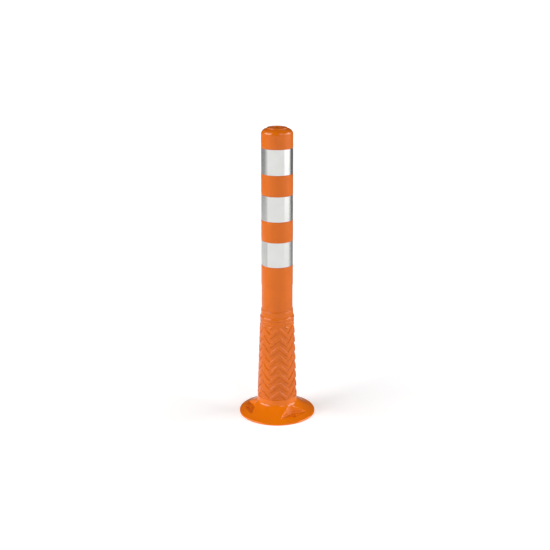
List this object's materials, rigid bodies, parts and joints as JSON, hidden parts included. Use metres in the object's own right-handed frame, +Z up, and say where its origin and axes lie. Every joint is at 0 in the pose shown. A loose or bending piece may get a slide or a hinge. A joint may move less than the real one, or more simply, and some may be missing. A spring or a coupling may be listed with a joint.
{
  "type": "delineator post",
  "caption": "Flexible spring-back traffic post: round bolt-down flange, chevron-ribbed bending skirt, hollow tube with wrapped reflective films and a domed top with a hole.",
  "frame": {"origin": "middle of the underside of the round flange, on the ground", "axes": "+Z up along the tube's axis, -Y towards the first bolt hole, +X level"},
  "size_m": [0.2, 0.2, 0.76],
  "materials": {
    "moulding": "satin moulded polyurethane, chevron ribs on the skirt",
    "reflective_film": "silver-white retroreflective film"
  },
  "bodies": {
    "base": {"base_flange": "moulding"},
    "ring_1": {"skirt_ring_1": "moulding"},
    "ring_2": {"skirt_ring_2": "moulding"},
    "ring_3": {"skirt_ring_3": "moulding"},
    "ring_4": {"skirt_ring_4": "moulding"},
    "ring_5": {"skirt_ring_5": "moulding"},
    "post": {"upper_tube": "moulding", "reflective_film_top": "reflective_film", "reflective_film_middle": "reflective_film", "reflective_film_bottom": "reflective_film"}
  },
  "joints": [
    {"name": "bend_forward_1", "type": "hinge", "parent": "base", "child": "ring_1", "pos_m": [0, 0, 0.06792], "axis": [1, 0, 0], "range_deg": [-30, 30], "stiffness_Nm_per_rad": 120, "deforming": ["skirt_ring_1"]},
    {"name": "bend_sideways_1", "type": "hinge", "parent": "ring_1", "child": "ring_2", "pos_m": [0, 0, 0.10775], "axis": [0, 1, 0], "range_deg": [-30, 30], "stiffness_Nm_per_rad": 120, "deforming": ["skirt_ring_2"]},
    {"name": "bend_forward_2", "type": "hinge", "parent": "ring_2", "child": "ring_3", "pos_m": [0, 0, 0.14758], "axis": [1, 0, 0], "range_deg": [-30, 30], "stiffness_Nm_per_rad": 120, "deforming": ["skirt_ring_3"]},
    {"name": "bend_sideways_2", "type": "hinge", "parent": "ring_3", "child": "ring_4", "pos_m": [0, 0, 0.18742], "axis": [0, 1, 0], "range_deg": [-30, 30], "stiffness_Nm_per_rad": 120, "deforming": ["skirt_ring_4"]},
    {"name": "bend_forward_3", "type": "hinge", "parent": "ring_4", "child": "ring_5", "pos_m": [0, 0, 0.22725], "axis": [1, 0, 0], "range_deg": [-30, 30], "stiffness_Nm_per_rad": 120, "deforming": ["skirt_ring_5"]},
    {"name": "bend_sideways_3", "type": "hinge", "parent": "ring_5", "child": "post", "pos_m": [0, 0, 0.26708], "axis": [0, 1, 0], "range_deg": [-30, 30], "stiffness_Nm_per_rad": 120}
  ],
  "couplings": [
    {"joint": "bend_forward_2", "follows": "bend_forward_1", "ratio": 1},
    {"joint": "bend_sideways_2", "follows": "bend_sideways_1", "ratio": 1},
    {"joint": "bend_forward_3", "follows": "bend_forward_1", "ratio": 1},
    {"joint": "bend_sideways_3", "follows": "bend_sideways_1", "ratio": 1}
  ]
}
